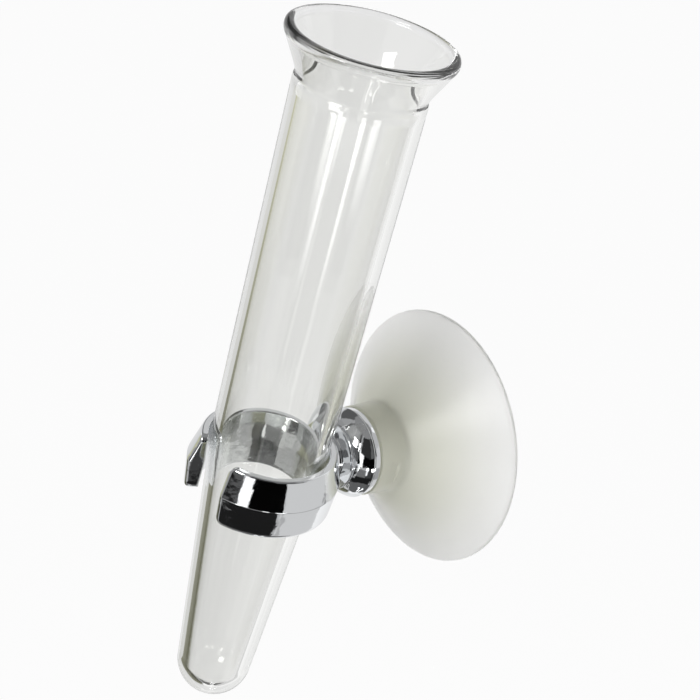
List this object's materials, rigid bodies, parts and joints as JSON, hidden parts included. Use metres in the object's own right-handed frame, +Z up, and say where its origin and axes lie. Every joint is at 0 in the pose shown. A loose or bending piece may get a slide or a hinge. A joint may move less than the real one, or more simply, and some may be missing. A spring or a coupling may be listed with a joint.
{
  "type": "suction cup bud vase",
  "caption": "Wall bud vase: a clear round-ended tube with a flared lip lifts out of a plated open clip, which swivels on a soft suction cup.",
  "frame": {"origin": "centre of the suction cup's rim, on the plane where the rim meets the wall", "axes": "+Y into the wall along the cup's axis, +Z up along the vase, +X to the right seen from the room"},
  "size_m": [0.05, 0.0546, 0.1366],
  "materials": {
    "clear_plastic": "polished, clear",
    "plated_plastic": "bright plating",
    "frosted_vinyl": "frosted, translucent"
  },
  "bodies": {
    "cup": {"suction_cup": "frosted_vinyl"},
    "clip": {"clip": "plated_plastic"},
    "vase": {"vase_tube": "clear_plastic"}
  },
  "joints": [
    {"name": "clip_swivel", "type": "hinge", "parent": "cup", "child": "clip", "pos_m": [0, -0.0205, 0], "axis": [0, 1, 0], "continuous": true},
    {"name": "vase_lift", "type": "slide", "parent": "clip", "child": "vase", "axis": [0, 0, 1], "range_m": [0, 0.062]}
  ]
}
